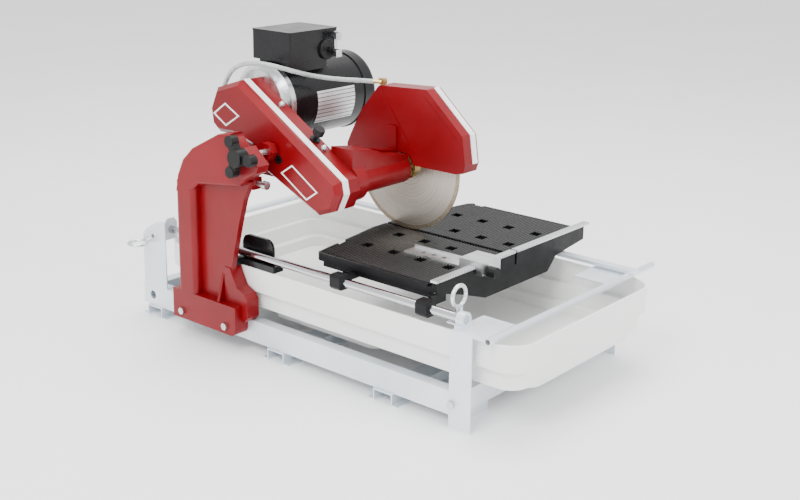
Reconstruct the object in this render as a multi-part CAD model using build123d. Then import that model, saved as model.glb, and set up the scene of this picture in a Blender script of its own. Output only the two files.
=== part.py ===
"""Wet tile saw: a blade on a pivoting head over a rolling cart, above a water pan in a steel frame.

The frame of the model is the saw's own: +X is the operator's right, +Y points from the operator to the
rear, +Z is up. The origin lies on the floor, under the centre of the blade with the head lowered.
"""
import os
from math import atan2, cos, degrees, hypot, pi, radians, sin, tan

from build123d import *

# ---------------------------------------------------------------- driving sizes, millimetres
FIT = 0.05                      # radial clearance of a shaft in its bore
GAP = 0.4                       # space between faces of pieces that move past each other

# blade and its shaft
BLADE_RADIUS = 127.0
BLADE_THICKNESS = 2.2
ARBOR_HEIGHT = 345.0            # blade centre above the floor, head lowered
ARBOR_RADIUS = 10.0
BLADE_BORE_RADIUS = 7.95
FLANGE_RADIUS = 25.0
FLANGE_THICKNESS = 9.0
NUT_ACROSS_FLATS = 24.0
NUT_HEIGHT = 9.0

# head pivot and its depth lock
PIVOT_Y = 205.0
PIVOT_Z = 360.0
PIVOT_RADIUS = 12.5
HUB_RADIUS = 27.0
LOCK_Y = 125.0
LOCK_Z = 398.0
STUD_RADIUS = 6.0
SLOT_RADIUS = 6.6
HEAD_LIFT = 28.0                # degrees the head lifts from its lowered place
HEAD_DROP = 3.0                 # degrees it sinks below it, blade in the table's slot

# belt arm, between column and blade
ARM_OUT = -243.0                # outer face of the belt cover
ARM_IN = -183.0                 # inner face of the arm's back plate
ARM_SPLIT = -213.0              # joint between cover and arm
ARM_WALL = 5.0
ARM_PLATE = 6.0
HOUSING_RADIUS = 28.0
HOUSING_END = -25.0

# belt drive
MOTOR_Y = 230.0
MOTOR_Z = 463.0
MOTOR_PULLEY_RADIUS = 28.0
ARBOR_PULLEY_RADIUS = 24.0
PULLEY_WIDTH = 20.0
PULLEY_X = -226.0               # centre plane of the belt
BELT_WIDTH = 10.0
BELT_THICKNESS = 7.0

# motor
MOTOR_RADIUS = 80.0
MOTOR_WALL = 5.0
MOTOR_LEFT = -168.0
MOTOR_RIGHT = 75.0
BELL_LENGTH = 34.0
MOTOR_FLANGE_RADIUS = 67.0
MOTOR_SHAFT_RADIUS = 8.0
MOTOR_BOLT_CIRCLE = 38.0

# control box on the motor
BOX_LEFT, BOX_RIGHT = -160.0, -30.0
BOX_FRONT, BOX_REAR = 163.0, 269.0
BOX_BOTTOM, BOX_TOP = 547.0, 602.0
BOX_WALL = 3.0
SWITCH_X, SWITCH_Z = -62.0, 564.0
SWITCH_RADIUS = 20.0

# blade guard
GUARD_HALF_WIDTH = 21.0
GUARD_WALL = 2.5

# steel frame
FRAME_LEFT, FRAME_RIGHT = -285.0, 175.0
FRAME_FRONT, FRAME_REAR = -352.0, 478.0
RAIL_BOTTOM, RAIL_TOP = 22.0, 65.0
RAIL_FLANGE = 22.0
SHEET = 2.5
SKID_WIDTH = 44.0
SKID_FOOT = 12.0
SKID_PLACES = (-190.0, 80.0, 440.0)
FRONT_POST = (-380.0, -335.0)
REAR_POST = (404.0, 475.0)
EAR_TOP = 174.5
EAR_REACH = 90.0
TUBE_RADIUS = 6.5
TUBE_Z = 173.5
TUBE_OVERHANG = 66.0
RAIL_SCREW_Y = -341.0
BOLT_RADIUS = 4.0
BOLT_HEAD = 13.0

# cart guide rod and rail
ROD_X, ROD_Z = -263.0, 189.0
ROD_RADIUS = 8.0
ROD_FRONT, ROD_REAR = -350.0, 418.0
RAIL_X = 160.0
RAIL_WIDTH = 20.0
RAIL_THICKNESS = 6.0

# water pan
PAN_LEFT, PAN_RIGHT = -270.0, 175.0
PAN_FRONT, PAN_REAR = -460.0, 425.0
PAN_CORNER = 48.0
PAN_RIM = 166.0
PAN_SKIRT_BOTTOM = 119.0
PAN_SHELF = 84.0
PAN_FLOOR = 62.5
PAN_WALL = 4.0
PAN_INSET = 12.0
SUMP_LEFT, SUMP_RIGHT = -190.0, 148.0
SUMP_FRONT, SUMP_REAR = -432.0, 395.0
BULGE_LEFT, BULGE_RIGHT = -232.0, -150.0
BULGE_FRONT, BULGE_REAR = -122.0, 140.0
DRAIN_X, DRAIN_Z = -200.0, 101.0
DRAIN_RADIUS = 9.0

# column
COLUMN_OUT = -318.0
COLUMN_IN = -288.0
WEB_OUT = -300.0
COLUMN_REAR = 326.0
BOSS_IN = -266.0
FOOT_FRONT, FOOT_REAR = 160.0, 343.0
FOOT_BOTTOM, FOOT_TOP = 36.0, 95.0
FOOT_WALL = 9.0

# cart
CART_HALF_WIDTH = 233.0
CART_FRONT = -246.0
CART_SIDE_REAR = 22.0
CART_PEAK = 55.0
TABLE_TOP = 213.0
TABLE_THICKNESS = 10.0
MAT_THICKNESS = 3.5
LIP_HEIGHT = 5.0
LIP_WIDTH = 5.0
SLOT_HALF_WIDTH = 3.0
TILE_HOLE = 20.0
HOLE_XS = (-138.0, -47.0, 47.0, 138.0)
HOLE_YS = (-213.0, -148.0, -83.0, -18.0)
RULER_FRONT, RULER_REAR = -264.0, -250.0
RULER_LOW, RULER_TOP = 224.0, 228.0
BEARING_YS = (-262.0, -62.0)
BEARING_LENGTH = 24.0
BEARING_HALF = 14.0
WHEEL_YS = (-190.0, -30.0)
WHEEL_RADIUS = 8.0
WHEEL_WIDTH = 10.0
AXLE_RADIUS = 3.0

# angle guide on the ruler
GUIDE_X = -108.0
GUIDE_WIDTH = 34.0
GUIDE_REAR = -96.0

# water hose
HOSE_RADIUS = 4.5
FITTING_STEM = 5.0
FITTING_FOOT = 492.0
HOSE_ROUTE = [
    (-26.0, 70.0, 507.0),
    (-40.0, 92.0, 508.0),
    (-76.0, 126.0, 511.0),
    (-118.0, 143.0, 520.0),
    (-160.0, 149.0, 532.0),
    (-193.0, 172.0, 545.0),
    (-211.0, 209.0, 550.0),
    (-216.0, 249.0, 541.0),
    (-213.0, 281.0, 519.0),
    (-207.0, 302.0, 490.0),
]

# ---------------------------------------------------------------- shape helpers


def block(x0, x1, y0, y1, z0, z1):
    """Box between two opposite corners."""
    size = Box(x1 - x0, y1 - y0, z1 - z0)
    return Pos((x0 + x1) / 2, (y0 + y1) / 2, (z0 + z1) / 2) * size


def plate_x(points, x0, x1):
    """Outline in (Y, Z) carried along X from x0 to x1."""
    return extrude(Plane.YZ.offset(x0) * make_face(Polyline(*points, close=True)), amount=x1 - x0)


def plate_y(points, y0, y1):
    """Outline in (X, Z) carried along Y from y0 to y1."""
    return extrude(Plane.XZ.offset(-y1) * make_face(Polyline(*points, close=True)), amount=y1 - y0)


def plate_z(points, z0, z1):
    """Outline in (X, Y) carried up from z0 to z1."""
    return extrude(Plane.XY.offset(z0) * make_face(Polyline(*points, close=True)), amount=z1 - z0)


def disc_x(radius, x0, x1, y, z):
    """Cylinder along X."""
    return Pos((x0 + x1) / 2, y, z) * Rot(0, 90, 0) * Cylinder(radius, x1 - x0)


def disc_y(radius, x, y0, y1, z):
    """Cylinder along Y."""
    return Pos(x, (y0 + y1) / 2, z) * Rot(90, 0, 0) * Cylinder(radius, y1 - y0)


def disc_z(radius, x, y, z0, z1):
    """Cylinder along Z."""
    return Pos(x, y, (z0 + z1) / 2) * Cylinder(radius, z1 - z0)


def hex_y(across_flats, x, y0, y1, z):
    """Hexagonal head along Y."""
    sketch = RegularPolygon(across_flats / 2, 6, major_radius=False)
    return extrude(Plane.XZ.offset(-y1) * Pos(x, z) * sketch, amount=y1 - y0)


def hex_x(across_flats, x0, x1, y, z):
    """Hexagonal head along X."""
    sketch = RegularPolygon(across_flats / 2, 6, major_radius=False)
    return extrude(Plane.YZ.offset(x0) * Pos(y, z) * sketch, amount=x1 - x0)


def polar(radius, angle, y=0.0, z=0.0):
    """Point (Y, Z) at an angle in degrees from +Y towards +Z, about a centre."""
    return y + radius * cos(radians(angle)), z + radius * sin(radians(angle))


def rounded_prism(x0, x1, y0, y1, z0, z1, corner):
    """Upright box with its four vertical edges rounded."""
    return extrude(
        Plane.XY.offset(z0) * Pos((x0 + x1) / 2, (y0 + y1) / 2) * RectangleRounded(x1 - x0, y1 - y0, corner),
        amount=z1 - z0,
    )


def mirrored(shape):
    """The same piece on the other side of the steel frame."""
    middle = (FRAME_LEFT + FRAME_RIGHT) / 2
    return mirror(shape, about=Plane.YZ.offset(middle))


PARTS = {}


def keep(node, shape):
    """Store a finished piece under its node name."""
    PARTS[node] = shape


# ---------------------------------------------------------------- steel frame


def side_rail():
    """Left rail: a pressed channel, open to the inside."""
    web = block(FRAME_LEFT, FRAME_LEFT + SHEET, FRAME_FRONT, FRAME_REAR, RAIL_BOTTOM, RAIL_TOP)
    inner = FRAME_LEFT + RAIL_FLANGE
    top = block(FRAME_LEFT, inner, FRAME_FRONT, FRAME_REAR, RAIL_TOP - SHEET, RAIL_TOP)
    bottom = block(FRAME_LEFT, inner, FRAME_FRONT, FRAME_REAR, RAIL_BOTTOM, RAIL_BOTTOM + SHEET)
    return web + top + bottom


def skid(y):
    """Inverted channel across the frame, under both rails, with foot flanges on the floor."""
    half = SKID_WIDTH / 2
    x0, x1 = FRAME_LEFT - 5, FRAME_RIGHT + 5
    shape = block(x0, x1, y - half, y + half, RAIL_BOTTOM - SHEET, RAIL_BOTTOM)
    for side in (-1, 1):
        wall = sorted((y + side * half, y + side * (half - SHEET)))
        foot = sorted((y + side * (half - SHEET), y + side * (half + SKID_FOOT)))
        shape += block(x0, x1, *wall, 0, RAIL_BOTTOM)
        shape += block(x0, x1, *foot, 0, SHEET)
    return shape


def cross_member(y, inward):
    """Channel between the rails at one end of the frame; inward is +1 at the front, -1 at the rear."""
    x0, x1 = FRAME_LEFT + SHEET, FRAME_RIGHT - SHEET
    z0, z1 = RAIL_BOTTOM + SHEET, RAIL_TOP - SHEET
    web = sorted((y, y + inward * SHEET))
    lip = sorted((y, y + inward * 25))
    shape = block(x0, x1, *web, z0, z1)
    shape += block(x0, x1, *lip, z1 - SHEET, z1)
    shape += block(x0, x1, *lip, z0, z0 + SHEET)
    return shape


def post(span, ear_span):
    """Left front post: a strip outside the rail, with a foot plate and an ear bent inward over the pan."""
    outer = FRAME_LEFT - SHEET
    strip = block(outer, FRAME_LEFT, *span, 0, EAR_TOP)
    ear = block(outer, FRAME_LEFT + EAR_REACH, *ear_span, EAR_TOP - SHEET, EAR_TOP)
    strip -= disc_x(BOLT_RADIUS, outer - 1, FRAME_LEFT + 1, RAIL_SCREW_Y, (RAIL_BOTTOM + RAIL_TOP) / 2)
    foot = block(outer, FRAME_LEFT + FOOT_PLATE, span[1] - 7.5, span[1] - 5, 0, RAIL_BOTTOM)
    return strip + foot + ear


def rear_post():
    """Left rear post: a cropped strip on the rail's top, with a foot flange bent inward."""
    y0, y1 = REAR_POST
    strip = plate_x(
        [(y0, RAIL_TOP), (y1, RAIL_TOP), (y1, 172), (465, 184), (434, 203), (411, 209), (y0, 207)],
        FRAME_LEFT, FRAME_LEFT + SHEET)
    foot = block(FRAME_LEFT, FRAME_LEFT + 20, y0, y1, RAIL_TOP, RAIL_TOP + SHEET)
    return strip + foot - disc_x(TUBE_RADIUS, FRAME_LEFT - 1, FRAME_LEFT + SHEET + 1, REAR_TUBE_Y, TUBE_Z)


FOOT_PLATE = 100.0
FRONT_EAR = (-405.0, -335.0)
FRONT_TUBE_Y = FRONT_EAR[0] - TUBE_RADIUS
REAR_TUBE_Y = 440.5
PIN_RADIUS = 4.5
FRONT_PIN = (-246.0, -320.0)
REAR_PIN = (462.0, 159.0)
ROD_CLAMP_WIDTH = 30.0

front_post = post(FRONT_POST, FRONT_EAR)
pin_tab = block(FRONT_PIN[0] - 14, FRONT_PIN[0] + 14, FRONT_EAR[1], FRONT_PIN[1] + 14, EAR_TOP - SHEET, EAR_TOP)
pin_tab -= disc_z(PIN_RADIUS + FIT, *FRONT_PIN, EAR_TOP - 10, EAR_TOP + 10)
rear_left_post = rear_post() - disc_x(PIN_RADIUS + FIT, FRAME_LEFT - 10, FRAME_LEFT + 10, *REAR_PIN)
cross_members = Compound([cross_member(FRAME_FRONT, 1), cross_member(FRAME_REAR, -1)])

keep("frame_rail_left", side_rail())
keep("frame_rail_right", mirrored(side_rail()))
keep("frame_skids", Compound([skid(y) for y in SKID_PLACES]))
keep("frame_cross_members", cross_members)
keep("front_posts", Compound([front_post + pin_tab, mirrored(front_post)]))
keep("rear_posts", Compound([rear_left_post, mirrored(rear_post())]))


def cross_tube(y, overhang):
    """Round tube across the frame; the rail lies over it."""
    x0, x1 = FRAME_LEFT - SHEET, FRAME_RIGHT + SHEET + overhang
    tube = disc_x(TUBE_RADIUS, x0, x1, y, TUBE_Z)
    return tube - disc_x(TUBE_RADIUS - 1.5, x0 - 1, x1 + 1, y, TUBE_Z)


keep("cross_tubes", Compound([cross_tube(FRONT_TUBE_Y, TUBE_OVERHANG), cross_tube(REAR_TUBE_Y, 0)]))


def cap_screw_x(x0, x1, y, z):
    """Hex screw along X: its head at x0, its shank to x1."""
    return hex_x(BOLT_HEAD, x0, x0 + 5.5, y, z) + disc_x(BOLT_RADIUS, x0 + 5.5, x1, y, z)


screw_z = (RAIL_BOTTOM + RAIL_TOP) / 2
rail_screw = cap_screw_x(FRAME_LEFT - SHEET - 5.5, FRAME_LEFT + SHEET + 4, RAIL_SCREW_Y, screw_z)
frame_screws = [rail_screw, mirrored(rail_screw)]
for node in ("frame_rail_left", "frame_rail_right"):
    PARTS[node] -= disc_x(BOLT_RADIUS, FRAME_LEFT - 20, FRAME_RIGHT + 20, RAIL_SCREW_Y, screw_z)
PARTS["frame_rail_left"] -= disc_x(9, FRAME_LEFT - 1, FRAME_LEFT + SHEET + 1, 450, screw_z)

# ---------------------------------------------------------------- guide rod, rail and pins


def rod_clamp(y0, y1):
    """Pillow block that holds the guide rod's end on an ear."""
    half = ROD_CLAMP_WIDTH / 2
    base = block(ROD_X - half, ROD_X + half, y0, y1, EAR_TOP, EAR_TOP + 6)
    ring = disc_y(ROD_RADIUS + 5, ROD_X, y0, y1, ROD_Z)
    neck = block(ROD_X - ROD_RADIUS - 3, ROD_X + ROD_RADIUS + 3, y0, y1, EAR_TOP, ROD_Z)
    return base + ring + neck - disc_y(ROD_RADIUS, ROD_X, y0 - 1, y1 + 1, ROD_Z)


def rod_plate():
    """Upright plate between the rear post and the rod's rear end."""
    x = FRAME_LEFT + SHEET
    plate = plate_y([(x, 168), (-247, 168), (-247, 203), (-255, 213), (-271, 213), (x, 200)], 411, 411 + SHEET)
    return plate - disc_y(ROD_RADIUS, ROD_X, 410, 415, ROD_Z)


keep("guide_rod", disc_y(ROD_RADIUS, ROD_X, ROD_FRONT, ROD_REAR, ROD_Z))
keep("rod_clamps", Compound([rod_clamp(ROD_FRONT, -336.0), rod_plate()]))

RAIL_BASE = TUBE_Z + TUBE_RADIUS
rail_half = RAIL_WIDTH / 2
keep("cart_rail", block(RAIL_X - rail_half, RAIL_X + rail_half, -424, 452, RAIL_BASE, RAIL_BASE + RAIL_THICKNESS))


def ring_pin(collar):
    """Steel pin along Z from the origin down, with a pull ring above a collar of a given height."""
    shank = disc_z(PIN_RADIUS, 0, 0, -22, 0)
    neck = disc_z(PIN_RADIUS + 2.5, 0, 0, 0, collar)
    ring = Pos(0, 0, collar + 19) * Rot(90, 0, 0) * Torus(18, 3.5)
    return shank + neck + ring


keep("ring_pin_front", Pos(FRONT_PIN[0], FRONT_PIN[1], EAR_TOP) * ring_pin(26))
keep("ring_pin_rear", Pos(FRAME_LEFT, *REAR_PIN) * Rot(0, -90, 0) * Rot(0, 0, 90) * ring_pin(6))

# ---------------------------------------------------------------- water pan


def pan_tier(inset, x0, x1, y0, y1, z0, z1, corner):
    """One step of the pan's outside, drawn in by an inset."""
    return rounded_prism(x0 + inset, x1 - inset, y0 + inset, y1 - inset, z0, z1, corner)


def water_pan():
    """Moulded tub: a tall skirt, a shelf drawn in under it and a deeper sump that stands on the frame."""
    rim = (PAN_LEFT, PAN_RIGHT, PAN_FRONT, PAN_REAR)
    sump = (SUMP_LEFT, SUMP_RIGHT, SUMP_FRONT, SUMP_REAR)
    bulge = (BULGE_LEFT, BULGE_RIGHT, BULGE_FRONT, BULGE_REAR)
    shape = pan_tier(0, *rim, PAN_SKIRT_BOTTOM, PAN_RIM, PAN_CORNER)
    shape += pan_tier(PAN_INSET, *rim, PAN_SHELF, PAN_SKIRT_BOTTOM, PAN_CORNER - PAN_INSET)
    shape += pan_tier(0, *sump, PAN_FLOOR, PAN_SHELF, 30)
    shape += pan_tier(0, *bulge, PAN_FLOOR, PAN_SHELF, 14)
    top, wall = PAN_RIM + 1, PAN_WALL
    shape -= pan_tier(wall, *rim, PAN_SKIRT_BOTTOM + wall, top, PAN_CORNER - wall)
    shape -= pan_tier(PAN_INSET + wall, *rim, PAN_SHELF + wall, top, PAN_CORNER - PAN_INSET - wall)
    shape -= pan_tier(wall, *sump, PAN_FLOOR + wall, top, 30 - wall)
    shape -= pan_tier(wall, *bulge, PAN_FLOOR + wall, top, 14 - wall)
    hole = disc_y(DRAIN_RADIUS + FIT, DRAIN_X, PAN_REAR - 30, PAN_REAR + 5, DRAIN_Z)
    return shape - hole


def drain_plug():
    """Screw plug in the pan's rear wall, with a finned cap."""
    face = PAN_REAR - PAN_INSET
    stem = disc_y(DRAIN_RADIUS, DRAIN_X, face - PAN_WALL - 3, face, DRAIN_Z)
    cap = disc_y(DRAIN_RADIUS + 5, DRAIN_X, face, face + 6, DRAIN_Z)
    fin = block(DRAIN_X - 3, DRAIN_X + 3, face + 6, face + 12, DRAIN_Z - 10, DRAIN_Z + 10)
    return stem + cap + fin


keep("water_pan", water_pan())
keep("drain_plug", drain_plug())

# ---------------------------------------------------------------- column

SLOT_REACH = hypot(LOCK_Y - PIVOT_Y, LOCK_Z - PIVOT_Z)
LOCK_ANGLE = degrees(atan2(LOCK_Z - PIVOT_Z, LOCK_Y - PIVOT_Y))
HEAD_OUTLINE = [
    (COLUMN_REAR, 296), (COLUMN_REAR - 7, 330), (COLUMN_REAR - 24, 364), (COLUMN_REAR - 52, 390),
    (200, 428), (160, 436), (146, 430), (90, 384), (96, 370), (128, 352), (142, 338), (258, 322), (290, 296),
]


def depth_slot(radius, x0, x1):
    """Slot about the head pivot that the lock stud travels in, from sunk to fully lifted."""
    start = LOCK_ANGLE + HEAD_DROP + 1.5
    end = LOCK_ANGLE - HEAD_LIFT - 1.5
    inner, outer = SLOT_REACH - radius, SLOT_REACH + radius
    middle = (start + end) / 2
    edge = Polyline
    line = edge(polar(inner, start, PIVOT_Y, PIVOT_Z), polar(outer, start, PIVOT_Y, PIVOT_Z))
    far_arc = ThreePointArc(
        polar(outer, start, PIVOT_Y, PIVOT_Z), polar(outer, middle, PIVOT_Y, PIVOT_Z),
        polar(outer, end, PIVOT_Y, PIVOT_Z))
    back = edge(polar(outer, end, PIVOT_Y, PIVOT_Z), polar(inner, end, PIVOT_Y, PIVOT_Z))
    near_arc = ThreePointArc(
        polar(inner, end, PIVOT_Y, PIVOT_Z), polar(inner, middle, PIVOT_Y, PIVOT_Z),
        polar(inner, start, PIVOT_Y, PIVOT_Z))
    face = make_face(Curve() + [line, far_arc, back, near_arc])
    slot = extrude(Plane.YZ.offset(x0) * face, amount=x1 - x0)
    for angle in (start, end):
        slot += disc_x(radius, x0, x1, *polar(SLOT_REACH, angle, PIVOT_Y, PIVOT_Z))
    return slot


STOP_X, STOP_Z = -277.0, 338.0
STOP_RADIUS = 5.0


def column():
    """Cast column: a ribbed web on an L-shaped foot that laps the rail, and a head plate with the slot."""
    web = plate_x(
        [(COLUMN_REAR, FOOT_TOP - 5), (COLUMN_REAR, 320), (130, 345), (136, 332), (148, 308), (163, 258),
         (187, 165), (200, FOOT_TOP - 5)],
        WEB_OUT, COLUMN_IN)
    rear_flange = block(COLUMN_OUT, COLUMN_IN, COLUMN_REAR - 54, COLUMN_REAR, FOOT_TOP - 5, 320)
    rear_flange = fillet(rear_flange.edges().filter_by(Axis.Z).group_by(Axis.X)[0], 10)
    head = plate_x(HEAD_OUTLINE, COLUMN_OUT, COLUMN_IN)
    head = fillet(head.edges().group_by(Axis.X)[0], 5)
    boss = disc_x(HUB_RADIUS + 5, COLUMN_IN, BOSS_IN, PIVOT_Y, PIVOT_Z)
    stop_boss = block(COLUMN_IN, STOP_X + 11, 134, 160, STOP_Z - 11, STOP_Z + 11)
    foot = block(COLUMN_OUT, FRAME_LEFT, FOOT_FRONT, FOOT_REAR, FOOT_BOTTOM, FOOT_TOP)
    foot = fillet(foot.edges().filter_by(Axis.X).group_by(Axis.Y)[0].sort_by(Axis.Z)[:1], 14)
    cored = block(COLUMN_OUT + FOOT_WALL, FRAME_LEFT + 1, FOOT_FRONT + FOOT_WALL, FOOT_REAR - FOOT_WALL,
                  FOOT_BOTTOM - 1, RAIL_TOP + 10)
    lobe = plate_x([(205, RAIL_TOP), (150, RAIL_TOP), (142, 74), (142, 108), (150, 120), (172, 130), (190, 165),
                    (205, 165)], COLUMN_IN - 14, PAN_LEFT - 3)
    shelf_rib = plate_y([(COLUMN_OUT + 2, FOOT_TOP - 4), (WEB_OUT, FOOT_TOP - 4), (WEB_OUT, 150)], 208, 214)
    shape = web + rear_flange + head + boss + stop_boss + (foot - cored) + lobe + shelf_rib
    for y in FOOT_SCREW_YS:
        shape += block(COLUMN_OUT, FRAME_LEFT, y - 11, y + 11, FOOT_BOTTOM + 4, RAIL_TOP + 12)
    shape -= disc_x(PIVOT_RADIUS, COLUMN_OUT + 7, BOSS_IN + 1, PIVOT_Y, PIVOT_Z)
    shape -= depth_slot(SLOT_RADIUS, COLUMN_OUT - 1, COLUMN_IN + 1)
    shape -= disc_y(STOP_RADIUS, STOP_X, 120, 161, STOP_Z)
    for y in FOOT_SCREW_YS:
        shape -= disc_x(BOLT_RADIUS, COLUMN_OUT - 1, FRAME_LEFT + 1, y, FOOT_SCREW_Z)
    return shape


FOOT_SCREW_YS = (188.0, 315.0)
FOOT_SCREW_Z = 52.0

column_shape = column()
keep("column", column_shape)
for y in FOOT_SCREW_YS:
    frame_screws.append(cap_screw_x(COLUMN_OUT - 5.5, FRAME_LEFT + SHEET + 5, y, FOOT_SCREW_Z))
    PARTS["frame_rail_left"] -= disc_x(BOLT_RADIUS, FRAME_LEFT - 1, FRAME_LEFT + 4, y, FOOT_SCREW_Z)
keep("frame_screws", Compound(frame_screws))


keep("pivot_shaft", disc_x(PIVOT_RADIUS, COLUMN_OUT + 7, ARM_IN + 6, PIVOT_Y, PIVOT_Z))
keep("depth_stop", disc_y(STOP_RADIUS, STOP_X, 118, 158, STOP_Z) + disc_y(8, STOP_X, 108, 118, STOP_Z))


def rod_shield():
    """Black bracket from the column round the rod's underside, with an upright plate on the rod's far side."""
    low = PAN_RIM + 0.5
    base = block(ROD_X - 9, ROD_X + 16, 100, 205, low, SHIELD_BASE_TOP)
    heel = block(COLUMN_IN, ROD_X - 9, 189, 205, low, SHIELD_BASE_TOP)
    upright = block(ROD_X + 10, ROD_X + 16, 122, 205, low, SHIELD_TOP)
    upright = fillet(upright.edges().filter_by(Axis.X).group_by(Axis.Z)[-1], 18)
    return base + heel + upright


SHIELD_BASE_TOP = 179.0
SHIELD_TOP = 222.0
keep("rod_shield", rod_shield())

# ---------------------------------------------------------------- belt arm

ARM_OUTLINE = [
    (-34, 361), (-39, 338), (-24, 305), (16, 290), (150, 349), (178, 392), (240, 409), (284, 408), (301, 421),
    (307, 455), (289, 495), (222, 517),
]
COVER_BEVEL = 10.0


def arm_outline(inset):
    """The belt housing's outline in (Y, Z), drawn in by an inset."""
    face = make_face(Polyline(*ARM_OUTLINE, close=True))
    return face if inset == 0 else offset(face, amount=-inset, kind=Kind.INTERSECTION)


def arm_slab(inset, x0, x1):
    """The belt housing's outline carried along X."""
    return extrude(Plane.YZ.offset(x0) * arm_outline(inset), amount=x1 - x0)


def belt_cover():
    """Outer half of the belt housing: a pan with a bevelled edge."""
    shell = arm_slab(0, ARM_OUT + COVER_BEVEL, ARM_SPLIT)
    crown_base = Plane.YZ.offset(ARM_OUT + COVER_BEVEL) * arm_outline(0)
    crown = loft([crown_base, Plane.YZ.offset(ARM_OUT) * arm_outline(9)])
    cavity = arm_slab(ARM_WALL, ARM_OUT + ARM_WALL, ARM_SPLIT + 1)
    return shell + crown - cavity - disc_x(5, ARM_OUT - 1, ARM_OUT + 20, *GROMMET)


GROMMET = (112.0, 381.0)
HUB_OUT = -264.0
EAR_IN = -248.0


def arm_casting():
    """Inner half of the belt housing with the pivot hub, the lock ear, the motor seat and the arbor housing."""
    shape = arm_slab(0, ARM_SPLIT, ARM_IN) - arm_slab(ARM_WALL, ARM_SPLIT - 1, ARM_IN - ARM_PLATE)
    shape += disc_x(HUB_RADIUS, HUB_OUT, ARM_IN, PIVOT_Y, PIVOT_Z)
    hub_web = plate_x([(150, 349), (172, 328), (238, 328), (262, 409), (166, 409)], ARM_IN - ARM_PLATE - 6, ARM_IN)
    ear = plate_x([(108, 398), (118, 384), (188, 336), (222, 338), (230, 372), (196, 392), (134, 414), (116, 412)],
                  HUB_OUT, EAR_IN)
    shape += hub_web + ear
    housing = disc_x(HOUSING_RADIUS, ARM_IN - 1, HOUSING_END, 0, ARBOR_HEIGHT)
    collar = disc_x(HOUSING_RADIUS + 9, ARM_IN - 1, ARM_IN + 26, 0, ARBOR_HEIGHT)
    saddle = plate_y([(ARM_IN - 1, ARBOR_HEIGHT), (HOUSING_END, ARBOR_HEIGHT), (HOUSING_END, 375),
                      (-80, 384), (-128, 402), (ARM_IN - 1, 410)], -20, 34)
    saddle = fillet(saddle.edges().filter_by(Axis.X).group_by(Axis.Z)[-1], 5)
    shape += housing + collar + saddle
    shape -= disc_x(PIVOT_RADIUS + FIT, HUB_OUT - 1, ARM_IN + 1, PIVOT_Y, PIVOT_Z)
    shape -= disc_x(STUD_RADIUS, HUB_OUT - 1, EAR_IN + 1, LOCK_Y, LOCK_Z)
    shape -= disc_x(ARBOR_RADIUS + 3, ARM_IN - 10, HOUSING_END + 1, 0, ARBOR_HEIGHT)
    for x0, x1 in BEARING_SEATS:
        shape -= disc_x(BEARING_RADIUS, x0, x1, 0, ARBOR_HEIGHT)
    shape -= disc_x(MOTOR_SHAFT_RADIUS + 6, ARM_IN - 10, ARM_IN + 1, MOTOR_Y, MOTOR_Z)
    for y, z in MOTOR_SCREWS:
        shape -= disc_x(BOLT_RADIUS, ARM_IN - 14, ARM_IN + 1, y, z)
    return shape


BEARING_RADIUS = 21.0
BEARING_WIDTH = 12.0
BEARING_SEATS = ((ARM_IN - 10.0, ARM_IN + BEARING_WIDTH), (HOUSING_END - BEARING_WIDTH, HOUSING_END + 1.0))
MOTOR_SCREWS = [polar(MOTOR_BOLT_CIRCLE, angle, MOTOR_Y, MOTOR_Z) for angle in (0, 90, 180, 270)]

arm_shape = arm_casting()
keep("arm_casting", arm_shape)
keep("belt_cover", belt_cover())

TRIM_WIDTH = 14.0
TRIM_THICKNESS = 1.6


def edge_band(outline, region, x0, x1):
    """Thin strip that lies on an outline's edges, where they pass through a region of (Y, Z)."""
    grown = offset(outline, amount=TRIM_THICKNESS, kind=Kind.INTERSECTION)
    band = extrude(Plane.YZ.offset(x0) * (grown - outline), amount=x1 - x0)
    return band & plate_x(region, x0, x1)


COVER_TRIM_REGION = [(222, 517), (-24, 305), (-90, 290), (-90, 420), (200, 560)]
GUARD_TRIM_REGION = [(-59, 506), (-155, 374), (-190, 374), (-190, 540), (-70, 540)]
GUARD_OUTLINE = [
    (144, 373), (130, 402), (104, 448), (60, 500), (-59, 506), (-147, 428), (-155, 374), (-150, 358), (-132, 354),
    (144, 354),
]

cover_trim = edge_band(arm_outline(0), COVER_TRIM_REGION, ARM_SPLIT - TRIM_WIDTH, ARM_SPLIT)
keep("cover_grommet", disc_x(8.5, ARM_OUT - 1.5, ARM_OUT, *GROMMET) + disc_x(5, ARM_OUT, ARM_OUT + 4, *GROMMET)
     - disc_x(3, ARM_OUT - 2, ARM_OUT + 5, *GROMMET))

# plain outline badges
BADGE_THICKNESS = 0.8
ARM_SLOPE = degrees(atan2(517 - 361, 222 + 34))


def badge(corners, border):
    """Outline frame with corners in (Y, Z), on the cover's face."""
    face = make_face(Polyline(*corners, close=True))
    frame = face - offset(face, amount=-border, kind=Kind.INTERSECTION)
    return extrude(Plane.YZ.offset(ARM_OUT) * frame, amount=-BADGE_THICKNESS)


diamond_badge = badge([(258, 470), (218, 449), (257, 424), (293, 445)], 3)
long_badge = badge([(77, 377), (11, 336), (40, 316), (107, 357)], 2.5)
white_pieces = [cover_trim, diamond_badge, long_badge]


def cover_screws():
    """Domed nuts on the housing's top edge."""
    nuts = []
    for y in (148.0, 38.0):
        z = 361 + (y + 34) * tan(radians(ARM_SLOPE))
        nut = Pos(ARM_SPLIT + 12, y, z) * Rot(ARM_SLOPE, 0, 0) * (Pos(0, 0, 3) * Cylinder(6, 6))
        dome = Pos(ARM_SPLIT + 12, y, z) * Rot(ARM_SLOPE, 0, 0) * (Pos(0, 0, 6) * Sphere(5.5))
        nuts.append(nut + (dome - arm_slab(0, ARM_SPLIT, ARM_IN)))
    return nuts


arm_fasteners = cover_screws()


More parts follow.
